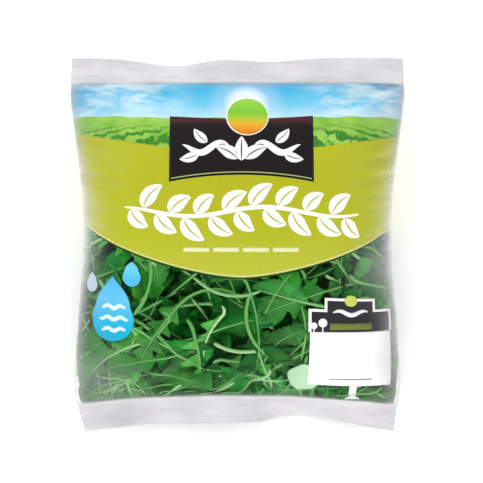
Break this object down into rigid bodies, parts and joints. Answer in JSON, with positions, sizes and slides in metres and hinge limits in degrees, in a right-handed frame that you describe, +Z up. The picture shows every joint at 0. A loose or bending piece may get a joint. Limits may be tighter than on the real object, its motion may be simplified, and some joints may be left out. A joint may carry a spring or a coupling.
{
  "type": "bag of salad leaves",
  "caption": "Sealed clear pillow bag of loose salad leaves, flat-welded at both ends, swollen in the middle, lying on its back.",
  "frame": {"origin": "on the resting surface, under the middle of the bag's bounding box", "axes": "+Z up out of the printed front, +Y along the bag towards the top seal, +X to the right as the front is read"},
  "size_m": [0.1898, 0.2132, 0.0514],
  "materials": {
    "film": "clear glossy film with a slight haze",
    "print": "printed film, gloss",
    "leaf": "fresh leaf, satin",
    "stalk": "fresh stalk, satin",
    "heap": "deep shade between leaves"
  },
  "bodies": {
    "root": {"salad_bag": "film"}
  },
  "joints": []
}
